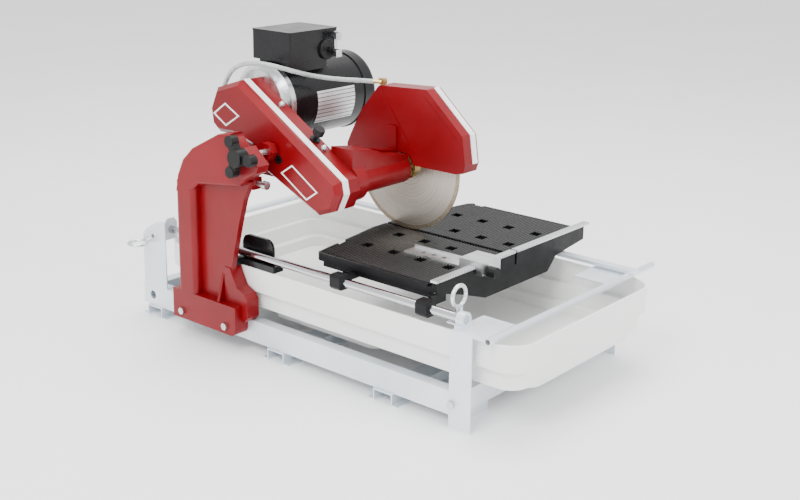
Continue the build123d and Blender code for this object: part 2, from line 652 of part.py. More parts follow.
def belt_tensioner():
    """Hex knob on a stud that stands on the housing's top edge."""
    y = TENSIONER_Y
    seat = Pos((ARM_SPLIT + ARM_IN) / 2, y, 361 + (y + 34) * tan(radians(ARM_SLOPE))) * Rot(ARM_SLOPE, 0, 0)
    stud = Pos(0, 0, 8) * Cylinder(4, 16)
    washer = Pos(0, 0, 1.5) * Cylinder(10, 3)
    knob = extrude(Plane.XY.offset(14) * RegularPolygon(9.5, 6, major_radius=False), amount=13)
    return seat * (stud + washer + knob)


TENSIONER_Y = 62.0
keep("belt_tensioner", belt_tensioner())

# ---------------------------------------------------------------- belt drive

arbor_end = 1.1 + FLANGE_THICKNESS + NUT_HEIGHT
shoulder = -BLADE_THICKNESS / 2 - FLANGE_THICKNESS
arbor = disc_x(ARBOR_RADIUS, PULLEY_X - PULLEY_WIDTH / 2 - 2, shoulder, 0, ARBOR_HEIGHT)
arbor += disc_x(BLADE_BORE_RADIUS, shoulder, arbor_end, 0, ARBOR_HEIGHT)
keep("arbor_shaft", arbor)


def bearing(x0, x1):
    """Ball bearing, as one ring between shaft and seat."""
    ring = disc_x(BEARING_RADIUS, x0, x1, 0, ARBOR_HEIGHT)
    return ring - disc_x(ARBOR_RADIUS + FIT, x0 - 1, x1 + 1, 0, ARBOR_HEIGHT)


inner_bearing = bearing(ARM_IN, ARM_IN + BEARING_WIDTH)
keep("arbor_bearings", Compound([inner_bearing, bearing(HOUSING_END - BEARING_WIDTH, HOUSING_END)]))


def pulley(radius, bore, y, z):
    """V-belt pulley."""
    half = PULLEY_WIDTH / 2
    body = disc_x(radius, PULLEY_X - half, PULLEY_X + half, y, z)
    groove = disc_x(radius + 1, PULLEY_X - BELT_WIDTH / 2, PULLEY_X + BELT_WIDTH / 2, y, z)
    groove -= disc_x(radius - BELT_THICKNESS, PULLEY_X - half, PULLEY_X + half, y, z)
    return body - groove - disc_x(bore, PULLEY_X - half - 1, PULLEY_X + half + 1, y, z)


keep("arbor_pulley", pulley(ARBOR_PULLEY_RADIUS, ARBOR_RADIUS, 0, ARBOR_HEIGHT))
keep("motor_pulley", pulley(MOTOR_PULLEY_RADIUS, MOTOR_SHAFT_RADIUS, MOTOR_Y, MOTOR_Z))


def drive_belt():
    """Belt round both pulleys, a loop just clear of the groove floors."""
    low = ARBOR_PULLEY_RADIUS - BELT_THICKNESS + GAP
    high = MOTOR_PULLEY_RADIUS - BELT_THICKNESS + GAP
    span = hypot(MOTOR_Y, MOTOR_Z - ARBOR_HEIGHT)
    slope = degrees(atan2(MOTOR_Z - ARBOR_HEIGHT, MOTOR_Y))
    lean = degrees(atan2(low - high, span))

    def loop(grow):
        """Outline round both pulley circles, grown by an amount."""
        corners = []
        for radius, y, z, start, end in (
                (low + grow, 0, ARBOR_HEIGHT, slope + 90 - lean, slope + 270 + lean),
                (high + grow, MOTOR_Y, MOTOR_Z, slope - 90 + lean, slope + 90 - lean)):
            corners.append([polar(radius, a, y, z) for a in (start, (start + end) / 2, end)])
        first, second = corners
        return make_face(Curve() + [
            ThreePointArc(*first), Line(first[2], second[0]), ThreePointArc(*second), Line(second[2], first[0])])

    face = loop(BELT_THICKNESS - 1) - loop(0)
    half = BELT_WIDTH / 2 - GAP
    return extrude(Plane.YZ.offset(PULLEY_X - half) * face, amount=2 * half)


keep("drive_belt", drive_belt())

# ---------------------------------------------------------------- motor


def motor_shell():
    """Rolled steel shell of the motor."""
    right = MOTOR_RIGHT - BELL_LENGTH
    shell = disc_x(MOTOR_RADIUS - 2, MOTOR_LEFT + 12, right, MOTOR_Y, MOTOR_Z)
    return shell - disc_x(MOTOR_RADIUS - 2 - MOTOR_WALL, MOTOR_LEFT + 11, right + 1, MOTOR_Y, MOTOR_Z)


def front_bell():
    """Machined bell that bolts the motor to the arm and carries the shaft."""
    shape = disc_x(MOTOR_FLANGE_RADIUS, ARM_IN, MOTOR_LEFT, MOTOR_Y, MOTOR_Z)
    shape += disc_x(MOTOR_RADIUS - 1, MOTOR_LEFT, MOTOR_LEFT + 12, MOTOR_Y, MOTOR_Z)
    shape -= disc_x(MOTOR_SHAFT_RADIUS + FIT, ARM_IN - 1, MOTOR_LEFT + 13, MOTOR_Y, MOTOR_Z)
    for y, z in MOTOR_SCREWS:
        shape -= disc_x(BOLT_RADIUS, ARM_IN - 1, ARM_IN + 9, y, z)
    return shape


def rear_bell():
    """End bell with a rounded shoulder and a fan inside its slots."""
    right = MOTOR_RIGHT
    shape = disc_x(MOTOR_RADIUS, right - BELL_LENGTH, right, MOTOR_Y, MOTOR_Z)
    shape = fillet(shape.edges().group_by(Axis.X)[-1], 10)
    shape -= disc_x(MOTOR_RADIUS - 8, right - BELL_LENGTH - 1, right - 12, MOTOR_Y, MOTOR_Z)
    shape += disc_x(20, right - BELL_LENGTH, right - 12, MOTOR_Y, MOTOR_Z)
    for angle in range(20, 360, 45):
        y, z = polar(46, angle, MOTOR_Y, MOTOR_Z)
        vent = Pos(right - 6, y, z) * Rot(angle, 0, 0) * Box(14, 34, 8)
        shape -= vent
    return shape - disc_x(MOTOR_SHAFT_RADIUS + FIT, right - BELL_LENGTH - 1, right - 16, MOTOR_Y, MOTOR_Z)


def motor_rotor():
    """Rotor with its shaft, from the pulley to the rear bell."""
    shaft = disc_x(MOTOR_SHAFT_RADIUS, PULLEY_X - PULLEY_WIDTH / 2 - 2, MOTOR_RIGHT - 17, MOTOR_Y, MOTOR_Z)
    core = disc_x(42, -118, 6, MOTOR_Y, MOTOR_Z)
    fan = disc_x(30, MOTOR_RIGHT - BELL_LENGTH - 20, MOTOR_RIGHT - BELL_LENGTH - 8, MOTOR_Y, MOTOR_Z)
    return shaft + core + fan


def motor_stator():
    """Wound stator pressed into the shell."""
    return (disc_x(MOTOR_RADIUS - 2 - MOTOR_WALL, -112, 0, MOTOR_Y, MOTOR_Z)
            - disc_x(43, -113, 1, MOTOR_Y, MOTOR_Z))


keep("motor_shell", motor_shell())
keep("motor_front_bell", front_bell())
keep("motor_rear_bell", rear_bell())
keep("motor_rotor", motor_rotor())
keep("motor_stator", motor_stator())

motor_screws = [disc_x(BOLT_RADIUS, ARM_IN - ARM_PLATE, ARM_IN + 9, y, z)
                + hex_x(BOLT_HEAD, ARM_IN - ARM_PLATE - 5.5, ARM_IN - ARM_PLATE, y, z) for y, z in MOTOR_SCREWS]
keep("arm_fasteners", Compound(arm_fasteners + motor_screws))

# ---------------------------------------------------------------- control box and switch


def control_box():
    """Sheet-metal box on a saddle that fits the motor's shell, open on top for its lid."""
    shell = rounded_prism(BOX_LEFT, BOX_RIGHT, BOX_FRONT, BOX_REAR, BOX_BOTTOM, BOX_TOP, 4)
    inside = rounded_prism(BOX_LEFT + BOX_WALL, BOX_RIGHT - BOX_WALL, BOX_FRONT + BOX_WALL, BOX_REAR - BOX_WALL,
                           BOX_BOTTOM + BOX_WALL, BOX_TOP + 1, 3)
    saddle = block(BOX_LEFT + 12, BOX_RIGHT - 12, BOX_FRONT + 18, BOX_REAR - 8, BOX_BOTTOM - 40, BOX_BOTTOM)
    saddle -= disc_x(MOTOR_RADIUS - 2, BOX_LEFT, BOX_RIGHT, MOTOR_Y, MOTOR_Z)
    hole = disc_y(SWITCH_STEM + 1, SWITCH_X, BOX_FRONT - 1, BOX_FRONT + BOX_WALL + 1, SWITCH_Z)
    cable_gland_hole = disc_y(6, GLAND_X, BOX_REAR - BOX_WALL - 1, BOX_REAR + 1, BOX_BOTTOM + 18)
    return shell - inside + saddle - hole - cable_gland_hole


SWITCH_STEM = 6.0
GLAND_X = -130.0

keep("control_box", control_box())
keep("box_lid", rounded_prism(BOX_LEFT - 1, BOX_RIGHT + 1, BOX_FRONT - 1, BOX_REAR + 1, BOX_TOP, BOX_TOP + 3, 5))
gland = disc_y(9, GLAND_X, BOX_REAR, BOX_REAR + 10, BOX_BOTTOM + 18)
gland += disc_y(6, GLAND_X, BOX_REAR - 6, BOX_REAR, BOX_BOTTOM + 18)
keep("cable_gland", gland - disc_y(4, GLAND_X, BOX_REAR - 7, BOX_REAR + 11, BOX_BOTTOM + 18))


def switch_body():
    """Toggle switch without its lever: a ringed collar on the box and the case behind the panel."""
    collar = disc_y(SWITCH_RADIUS, SWITCH_X, BOX_FRONT - 6, BOX_FRONT, SWITCH_Z)
    collar = fillet(collar.edges().group_by(Axis.Y)[0], 2)
    neck = disc_y(SWITCH_STEM + 1, SWITCH_X, BOX_FRONT, BOX_FRONT + BOX_WALL, SWITCH_Z)
    case = block(SWITCH_X - 12, SWITCH_X + 12, BOX_FRONT + BOX_WALL, BOX_FRONT + 28, SWITCH_Z - 9, SWITCH_Z + 9)
    bore = disc_y(SWITCH_STEM - 1, SWITCH_X, BOX_FRONT - 7, BOX_FRONT + 10, SWITCH_Z)
    return collar + neck + case - bore


def switch_toggle():
    """Lever of the switch: a bat-shaped handle on a ball at its pivot."""
    ball = Pos(SWITCH_X, BOX_FRONT - 2, SWITCH_Z) * Sphere(4)
    lever = Pos(SWITCH_X, BOX_FRONT - 12, SWITCH_Z) * Rot(90, 0, 0) * Cone(2.2, 3.6, 20)
    tip = Pos(SWITCH_X, BOX_FRONT - 22, SWITCH_Z) * Sphere(3.6)
    return ball + lever + tip


keep("switch_body", switch_body())
keep("switch_toggle", switch_toggle())


def switch_bracket():
    """Lock-out bracket: two bent ears beside the toggle, on one screwed base strip."""
    x = SWITCH_X + SWITCH_RADIUS + 2
    base = block(x, x + 9, BOX_FRONT - 2, BOX_FRONT, SWITCH_Z - 15, SWITCH_Z + 34)
    arms = None
    for z in (SWITCH_Z - 13, SWITCH_Z + 20):
        arm = block(x - 14, x + 2, BOX_FRONT - 20, BOX_FRONT - 18, z - 2, z + 12)
        arm += block(x, x + 2, BOX_FRONT - 20, BOX_FRONT, z - 2, z + 12)
        arms = arm if arms is None else arms + arm
    return base + arms


keep("switch_bracket", switch_bracket())

LABEL_THICKNESS = 0.6
label = disc_x(MOTOR_RADIUS - 2 + LABEL_THICKNESS, -96, 10, MOTOR_Y, MOTOR_Z)
label -= disc_x(MOTOR_RADIUS - 2, -97, 11, MOTOR_Y, MOTOR_Z)
label &= block(-97, 11, MOTOR_Y - 90, MOTOR_Y - 40, MOTOR_Z - 42, MOTOR_Z + 22)
keep("motor_label", label)

# ---------------------------------------------------------------- blade


def blade():
    """Diamond blade: a steel core with a continuous rim a little thicker than the core."""
    core = disc_x(BLADE_RADIUS - 8, -0.8, 0.8, 0, ARBOR_HEIGHT)
    rim = disc_x(BLADE_RADIUS, -BLADE_THICKNESS / 2, BLADE_THICKNESS / 2, 0, ARBOR_HEIGHT)
    rim -= disc_x(BLADE_RADIUS - 8, -2, 2, 0, ARBOR_HEIGHT)
    hub = disc_x(FLANGE_RADIUS, -BLADE_THICKNESS / 2, BLADE_THICKNESS / 2, 0, ARBOR_HEIGHT)
    return core + rim + hub - disc_x(BLADE_BORE_RADIUS, -3, 3, 0, ARBOR_HEIGHT)


def flange(x0, x1, bore):
    """Clamping flange of the blade, dished on its outside."""
    ring = disc_x(FLANGE_RADIUS, x0, x1, 0, ARBOR_HEIGHT)
    return ring - disc_x(bore, x0 - 1, x1 + 1, 0, ARBOR_HEIGHT)


half_blade = BLADE_THICKNESS / 2
keep("blade", blade())
keep("blade_flanges", Compound([flange(-half_blade - FLANGE_THICKNESS, -half_blade, BLADE_BORE_RADIUS),
                                flange(half_blade, half_blade + FLANGE_THICKNESS, BLADE_BORE_RADIUS)]))
nut = hex_x(NUT_ACROSS_FLATS, half_blade + FLANGE_THICKNESS, arbor_end, 0, ARBOR_HEIGHT)
keep("arbor_nut", nut - disc_x(BLADE_BORE_RADIUS, 0, arbor_end + 1, 0, ARBOR_HEIGHT))


def blade_guard():
    """Hood over the blade: two cheeks and a rim, open below, its near cheek stiffened by two raised lines."""
    width = GUARD_HALF_WIDTH
    solid = plate_x(GUARD_OUTLINE, -width, width)
    solid = chamfer(solid.edges().filter_by(Axis.X).filter_by_position(Axis.Z, 420, 510), 2)
    hollow_outline = offset(make_face(Polyline(*GUARD_OUTLINE, close=True)), amount=-GUARD_WALL, kind=Kind.INTERSECTION)
    inside = extrude(Plane.YZ.offset(-width + GUARD_WALL) * hollow_outline, amount=2 * (width - GUARD_WALL))
    mouth = block(-width + GUARD_WALL, width - GUARD_WALL, -150, 141, 340, 380)
    shape = solid - inside - mouth
    shaft_gate = disc_x(FLANGE_RADIUS + 6, -width - 1, -width + GUARD_WALL + 1, 0, ARBOR_HEIGHT)
    nut_gate = disc_x(FLANGE_RADIUS + 8, width - GUARD_WALL - 1, width + 1, 0, ARBOR_HEIGHT)
    ridges = cheek_line((57, 494), (-22, 387), 4) + cheek_line((-50, 494), (-134, 420), 2.5)
    return shape - shaft_gate - nut_gate + ridges


def cheek_line(start, end, width):
    """Raised line on the near cheek between two points in (Y, Z)."""
    middle = ((start[0] + end[0]) / 2, (start[1] + end[1]) / 2)
    along, rise = end[0] - start[0], end[1] - start[1]
    plane = Plane.YZ.offset(-GUARD_HALF_WIDTH) * Pos(*middle) * Rot(0, 0, degrees(atan2(rise, along)))
    return extrude(plane * Rectangle(hypot(along, rise), width), amount=-1.2)


keep("blade_guard", blade_guard())
guard_face = make_face(Polyline(*GUARD_OUTLINE, close=True))
white_pieces.append(edge_band(guard_face, GUARD_TRIM_REGION, 2, 2 + TRIM_WIDTH))
keep("white_trims", Compound(white_pieces))
guard_bracket = plate_y(
    [(-80, 384), (HOUSING_END, 375), (-GUARD_HALF_WIDTH, 375), (-GUARD_HALF_WIDTH, 425), (-26, 425), (-26, 380),
     (-80, 389)], 11, 34)
keep("guard_bracket", guard_bracket)

# ---------------------------------------------------------------- water hose


def hose_path(points):
    """Route of straight runs joined by the largest tangent arcs that the runs allow."""
    radii = []
    for before, corner, after in zip(points, points[1:], points[2:]):
        first, second = Vector(*corner) - Vector(*before), Vector(*after) - Vector(*corner)
        turn = radians(first.get_angle(second))
        radii.append(0.45 * min(first.length, second.length) / tan(turn / 2))
    print("hose radii", [round(radius, 1) for radius in radii])
    return FilletPolyline(*points, radius=radii)


route = hose_path(HOSE_ROUTE)
hose_start = Plane(origin=route @ 0, z_dir=route % 0)
hose_end = Plane(origin=route @ 1, z_dir=route % 1)
keep("water_hose", sweep(hose_start * Circle(HOSE_RADIUS), path=route))
print("hose length", round(route.length, 1), "volume ratio",
      round(PARTS["water_hose"].volume / (pi * HOSE_RADIUS ** 2 * route.length), 4))


def guard_fitting():
    """Brass elbow screwed into the guard's crown, with a barb that points along the hose."""
    x, y, z = HOSE_ROUTE[0]
    x, y = x + 14, y - 12
    stem = disc_z(FITTING_STEM, x, y, FITTING_FOOT, z)
    body = block(x - 6, x + 6, y - 6, y + 6, z - 5, z + 6)
    barb = extrude(hose_start * Circle(HOSE_RADIUS - 0.7), amount=-16)
    collar = extrude(hose_start * Circle(HOSE_RADIUS + 1), amount=-3)
    return stem + body + barb + collar


def arm_fitting():
    """Brass elbow on the arm's rear edge, where the hose enters the housing."""
    x, y, z = HOSE_ROUTE[-1]
    barb = extrude(hose_end * Circle(HOSE_RADIUS - 0.7), amount=16)
    collar = extrude(hose_end * Circle(HOSE_RADIUS + 1), amount=3)
    body = block(x - 6, x + 6, y - 12, y + 12, z - 22, z - 10)
    return (barb + collar + body) - arm_slab(0, ARM_OUT, ARM_IN + 1)


keep("water_fittings", Compound([guard_fitting(), arm_fitting()]))
x, y, _ = HOSE_ROUTE[0]
PARTS["blade_guard"] -= disc_z(FITTING_STEM, x + 14, y - 12, 480, 520)

# ---------------------------------------------------------------- lock knob


def lock_knob():
    """Three-lobed knob on the lock stud."""
    x0, x1 = COLUMN_OUT - 26, COLUMN_OUT - 2.5
    shape = disc_x(17, x0, x1, LOCK_Y, LOCK_Z)
    for angle in (60, 180, 300):
        y, z = polar(33, angle, LOCK_Y, LOCK_Z)
        lobe = disc_x(11, x0 + 3, x1 - 4, y, z)
        arm = Pos((x0 + x1) / 2, *polar(17, angle, LOCK_Y, LOCK_Z)) * Rot(angle, 0, 0) * Box(x1 - x0 - 8, 34, 16)
        shape += lobe + arm
    return shape - disc_x(STUD_RADIUS + FIT, x0 + 6, x1 + 1, LOCK_Y, LOCK_Z)


keep("lock_knob", lock_knob())
washer = disc_x(14, COLUMN_OUT - 2.3, COLUMN_OUT - GAP, LOCK_Y, LOCK_Z)
stud = disc_x(STUD_RADIUS, COLUMN_OUT - 19, EAR_IN, LOCK_Y, LOCK_Z)
keep("lock_stud", stud + washer)

# ---------------------------------------------------------------- cart

CART_OUTLINE = [
    (-CART_HALF_WIDTH, CART_FRONT), (CART_HALF_WIDTH, CART_FRONT), (CART_HALF_WIDTH, CART_SIDE_REAR - 8),
    (CART_HALF_WIDTH - 8, CART_SIDE_REAR), (40, CART_PEAK), (-40, CART_PEAK), (-CART_HALF_WIDTH + 4, CART_SIDE_REAR + 2),
    (-CART_HALF_WIDTH, CART_SIDE_REAR - 4),
]
LIP_GAPS = ((-168.0, -140.0, 10.0, 60.0), (222.0, 240.0, -16.0, 8.0))
APRON_FRONT, APRON_REAR = RULER_FRONT + 2, CART_FRONT + 2
APRON_LOW = 160.0


def table_outline(inset):
    """Outline of the table seen from above, drawn in by an inset."""
    face = make_face(Polyline(*CART_OUTLINE, close=True))
    return face if inset == 0 else offset(face, amount=-inset, kind=Kind.INTERSECTION)


def tile_holes(z0, z1):
    """Square drain holes through table and mat."""
    half = TILE_HOLE / 2
    return [block(x - half, x + half, y - half, y + half, z0, z1) for x in HOLE_XS for y in HOLE_YS]


def cart_table():
    """Cast table: plate with a raised lip, cross ribs, a deep front apron, rod lugs and wheel hangers."""
    under = TABLE_TOP - TABLE_THICKNESS
    plate = extrude(Plane.XY.offset(under) * table_outline(0), amount=TABLE_THICKNESS)
    lip = extrude(Plane.XY.offset(TABLE_TOP) * (table_outline(0) - table_outline(LIP_WIDTH)), amount=LIP_HEIGHT)
    lip -= block(-300, 300, CART_FRONT - 5, CART_FRONT + LIP_WIDTH, TABLE_TOP - 1, TABLE_TOP + 20)
    for x0, x1, y0, y1 in LIP_GAPS:
        lip -= block(x0, x1, y0, y1, TABLE_TOP, TABLE_TOP + 20)
    apron = plate_y(
        [(-CART_HALF_WIDTH, TABLE_TOP), (-CART_HALF_WIDTH, 206), (-160, 184), (-92, APRON_LOW), (108, APRON_LOW),
         (136, 186), (CART_HALF_WIDTH, 197), (CART_HALF_WIDTH, TABLE_TOP)],
        APRON_FRONT, APRON_REAR)
    upstand = block(-CART_HALF_WIDTH, CART_HALF_WIDTH, APRON_FRONT, RULER_REAR - 2, TABLE_TOP, RULER_LOW)
    shape = plate + lip + apron + upstand
    for x in (-222.0, -90.0, 90.0, 218.0):
        shape += block(x - 4, x + 4, APRON_REAR, 14, under - 12, under)
    for y in (-60.0,):
        shape += block(-222, -10, y - 4, y + 4, under - 12, under) + block(10, 218, y - 4, y + 4, under - 12, under)
    shape += plate_x([(APRON_REAR, under), (APRON_REAR, APRON_LOW + 6), (-160, 178), (-60, under)], -60, -40)
    shape += plate_x([(APRON_REAR, under), (APRON_REAR, APRON_LOW + 6), (-160, 178), (-60, under)], 40, 60)
    shape -= block(-SLOT_HALF_WIDTH, SLOT_HALF_WIDTH, RULER_FRONT - 5, CART_PEAK + 5, 200, TABLE_TOP + 20)
    for hole in tile_holes(under - 20, TABLE_TOP + 1):
        shape -= hole
    for y in BEARING_YS:
        y0, y1 = y - BEARING_LENGTH / 2 + 6, y + BEARING_LENGTH / 2 - 6
        shape += block(ROD_X + BEARING_HALF, -CART_HALF_WIDTH + 26, max(y0, APRON_FRONT), y1, 186, 204)
    for y in WHEEL_YS:
        shape += hanger(y)
    return shape


def hanger(y):
    """Lug under the table that carries one wheel's axle beside the rail."""
    inner = RAIL_X + WHEEL_WIDTH / 2 + 1
    lug = block(inner, inner + 8, y - 9, y + 9, WHEEL_Z - 6, TABLE_TOP - TABLE_THICKNESS)
    return lug - disc_x(AXLE_RADIUS, inner - 1, inner + 9, y, WHEEL_Z)


WHEEL_Z = RAIL_BASE + RAIL_THICKNESS + WHEEL_RADIUS

keep("cart_table", cart_table())


def wheel(y):
    """Small ball-bearing wheel on the rail."""
    x0, x1 = RAIL_X - WHEEL_WIDTH / 2, RAIL_X + WHEEL_WIDTH / 2
    return disc_x(WHEEL_RADIUS - GAP / 2, x0, x1, y, WHEEL_Z) - disc_x(AXLE_RADIUS + FIT, x0 - 1, x1 + 1, y, WHEEL_Z)


def axle(y):
    """Shoulder screw through the wheel into its hanger."""
    x0, x1 = RAIL_X - WHEEL_WIDTH / 2 - 1, RAIL_X + WHEEL_WIDTH / 2 + 9
    return disc_x(AXLE_RADIUS, x0, x1, y, WHEEL_Z) + disc_x(AXLE_RADIUS + 2, x0 - 2, x0, y, WHEEL_Z)


keep("cart_axles", Compound([axle(y) for y in WHEEL_YS]))
for name, y in zip(("front", "rear"), WHEEL_YS):
    keep("cart_wheel_" + name, wheel(y))


def mats():
    """Two ribbed rubber mats inside the lip, one on each side of the blade slot."""
    inside = extrude(Plane.XY.offset(TABLE_TOP) * table_outline(LIP_WIDTH + GAP), amount=MAT_THICKNESS)
    inside -= block(-300, 300, CART_FRONT - 10, RULER_REAR + GAP, TABLE_TOP - 1, TABLE_TOP + 20)
    inside -= block(-SLOT_HALF_WIDTH - 2, SLOT_HALF_WIDTH + 2, -400, 100, TABLE_TOP - 1, TABLE_TOP + 20)
    for hole in tile_holes(TABLE_TOP - 1, TABLE_TOP + 20):
        inside -= hole
    return inside


keep("cart_mats", mats())


def bearing_block(y):
    """Linear bearing on the guide rod, bolted to a lug of the table."""
    y0, y1 = y - BEARING_LENGTH / 2, y + BEARING_LENGTH / 2
    body = block(ROD_X - BEARING_HALF, ROD_X + BEARING_HALF, y0, y1, ROD_Z - BEARING_HALF, ROD_Z + BEARING_HALF)
    body = chamfer(body.edges().filter_by(Axis.Y), 5)
    return body - disc_y(ROD_RADIUS + FIT, ROD_X, y0 - 1, y1 + 1, ROD_Z)


keep("cart_bearings", Compound([bearing_block(y) for y in BEARING_YS]))


def ruler():
    """Thin aluminium ruler on the table's front upstand, with a kerf for the blade."""
    bar = block(-CART_HALF_WIDTH - 3, CART_HALF_WIDTH + 16, RULER_FRONT, RULER_REAR, RULER_LOW, RULER_TOP)
    return bar - block(-SLOT_HALF_WIDTH, SLOT_HALF_WIDTH, RULER_FRONT - 6, RULER_REAR + 5, RULER_LOW - 1, RULER_TOP + 1)


keep("cart_ruler", ruler())

GUIDE_BASE = TABLE_TOP + LIP_HEIGHT + GAP


def angle_guide():
    """Side guide: an angle bar over the table on a clamp block that straddles the ruler."""
    half = GUIDE_WIDTH / 2
    bar = block(GUIDE_X - half, GUIDE_X + half, RULER_REAR + 1, GUIDE_REAR, GUIDE_BASE, GUIDE_BASE + 3)
    fence = block(GUIDE_X + half - 3, GUIDE_X + half, RULER_REAR + 1, GUIDE_REAR, GUIDE_BASE, GUIDE_BASE + 8)
    for y in (-130.0, -154.0, -178.0):
        bar -= disc_z(5, GUIDE_X, y, GUIDE_BASE - 5, GUIDE_BASE + 5)
    top = block(GUIDE_X - half, GUIDE_X + half + 20, RULER_FRONT - 14, RULER_REAR + 24, RULER_TOP + GAP, RULER_TOP + 9)
    rear = block(GUIDE_X - half, GUIDE_X + half + 20, RULER_REAR + GAP, RULER_REAR + 24, GUIDE_BASE, RULER_TOP + 9)
    front = block(GUIDE_X - half, GUIDE_X + half + 20, RULER_FRONT - 14, RULER_FRONT - GAP, TABLE_TOP, RULER_TOP + 9)
    screw_hole = disc_y(4 + FIT, GUIDE_X, RULER_FRONT - 15, RULER_FRONT, 219)
    return bar + fence + top + rear + front - screw_hole


keep("angle_guide", angle_guide())
knob = disc_y(4, GUIDE_X, RULER_FRONT - 30, RULER_FRONT - GAP, 219)
knob += disc_y(10, GUIDE_X, RULER_FRONT - 34, RULER_FRONT - 17, 219)
keep("guide_thumbscrew", knob)

# ---------------------------------------------------------------- write the parts

os.makedirs("parts", exist_ok=True)
for node, shape in PARTS.items():
    export_step(shape, f"parts/{node}.step")
print(len(PARTS), "parts")
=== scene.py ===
"""Looks of the wet tile saw: every part's finish, the ribbed mats and the water hose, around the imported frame."""
import math

import bpy
import numpy as np
from mathutils import Matrix, Vector


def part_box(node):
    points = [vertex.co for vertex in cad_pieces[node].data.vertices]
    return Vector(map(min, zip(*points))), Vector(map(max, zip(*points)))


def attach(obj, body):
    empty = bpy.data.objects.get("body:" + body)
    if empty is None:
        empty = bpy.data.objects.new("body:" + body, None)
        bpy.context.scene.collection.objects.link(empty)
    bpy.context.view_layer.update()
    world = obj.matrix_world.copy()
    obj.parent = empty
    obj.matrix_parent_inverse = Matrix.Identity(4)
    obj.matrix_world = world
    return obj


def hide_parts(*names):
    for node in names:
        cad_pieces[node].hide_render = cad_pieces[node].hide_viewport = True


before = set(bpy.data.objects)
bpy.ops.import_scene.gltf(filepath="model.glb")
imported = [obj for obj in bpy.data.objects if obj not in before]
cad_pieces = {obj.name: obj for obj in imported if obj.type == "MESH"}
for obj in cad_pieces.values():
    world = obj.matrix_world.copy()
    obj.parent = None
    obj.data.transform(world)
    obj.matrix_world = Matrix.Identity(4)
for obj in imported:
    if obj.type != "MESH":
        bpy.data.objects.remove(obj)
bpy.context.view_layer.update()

# ---------------------------------------------------------------- camera, floor and light
# The camera stands in front of the saw and to its left, a little above the motor.
# The floor is a plain pale sheet, lit softly from above, with a brighter light on the left.
camera_data = bpy.data.cameras.new("camera")
camera_data.sensor_width = 36.0
camera_data.lens = 54.8
camera_data.shift_x = 0.0144
camera_data.shift_y = -0.0903
camera_data.clip_end = 60.0
camera = bpy.data.objects.new("camera", camera_data)
bpy.context.scene.collection.objects.link(camera)
heading, fall, lean = math.radians(49.13), math.radians(14.46), math.radians(0.55)
gaze = Vector((math.sin(heading) * math.cos(fall), math.cos(heading) * math.cos(fall), -math.sin(fall)))
camera.matrix_world = (
    Matrix.Translation((-1.7777, -1.4868, 0.9176))
    @ gaze.to_track_quat("-Z", "Y").to_matrix().to_4x4()
    @ Matrix.Rotation(lean, 4, "Z")
)
bpy.context.scene.camera = camera


def new_material(name):
    """A node material, as (material, tree, shader)."""
    material = bpy.data.materials.new(name)
    material.use_nodes = True
    return material, material.node_tree, material.node_tree.nodes["Principled BSDF"]


def cloud(tree, scale, stretch=(1, 1, 1), detail=3.0):
    """Cloudy value from 0 to 1 over the piece's own coordinates, in blobs of about 1/scale metres."""
    place = tree.nodes.new("ShaderNodeTexCoord")
    turn = tree.nodes.new("ShaderNodeMapping")
    noise = tree.nodes.new("ShaderNodeTexNoise")
    turn.inputs["Scale"].default_value = stretch
    noise.inputs["Scale"].default_value = scale
    noise.inputs["Detail"].default_value = detail
    tree.links.new(place.outputs["Object"], turn.inputs["Vector"])
    tree.links.new(turn.outputs["Vector"], noise.inputs["Vector"])
    return noise.outputs["Fac"]


def tint(tree, value, stops):
    """Colour from a value, through stops of (position, colour)."""
    ramp = tree.nodes.new("ShaderNodeValToRGB")
    ends = ramp.color_ramp.elements
    for index, (position, colour) in enumerate(stops):
        stop = ends[index] if index < 2 else ends.new(position)
        stop.position = position
        stop.color = (*colour, 1.0)
    tree.links.new(value, ramp.inputs["Fac"])
    return ramp.outputs["Color"]


def between(tree, value, low, high, start=0.3, end=0.7):
    """Value stretched so that start..end becomes low..high."""
    remap = tree.nodes.new("ShaderNodeMapRange")
    for socket, number in (("From Min", start), ("From Max", end), ("To Min", low), ("To Max", high)):
        remap.inputs[socket].default_value = number
    tree.links.new(value, remap.inputs["Value"])
    return remap.outputs["Result"]


def relief(tree, shader, value, height, before=None):
    """Bump of a height in metres on the shader, on top of an earlier bump."""
    bump = tree.nodes.new("ShaderNodeBump")
    bump.inputs["Distance"].default_value = height
    bump.inputs["Strength"].default_value = 1.0
    tree.links.new(value, bump.inputs["Height"])
    if before is not None:
        tree.links.new(before, bump.inputs["Normal"])
    tree.links.new(bump.outputs["Normal"], shader.inputs["Normal"])
    return bump.outputs["Normal"]


def surface(name, dark, light, patch, shine, grain, height, metal=0.0, stretch=(1, 1, 1), lacquer=0.0,
            gleam=0.5):
    """Finish whose colour drifts from dark to light in patches, whose gloss drifts with it, and whose skin has a
    fine grain of a height in metres."""
    material, tree, shader = new_material(name)
    drift = cloud(tree, patch, stretch, 4.0)
    tree.links.new(tint(tree, drift, [(0.3, dark), (0.7, light)]), shader.inputs["Base Color"])
    tree.links.new(between(tree, cloud(tree, patch * 2.7, stretch), *shine), shader.inputs["Roughness"])
    relief(tree, shader, cloud(tree, grain, stretch, 5.0), height)
    shader.inputs["Metallic"].default_value = metal
    shader.inputs["Coat Weight"].default_value = lacquer
    shader.inputs["Coat Roughness"].default_value = 0.12
    shader.inputs["Specular IOR Level"].default_value = gleam
    return material


def dress(material, *names):
    """Gives CAD pieces a finish."""
    for name in names:
        slots = cad_pieces[name].data.materials
        slots.clear()
        slots.append(material)


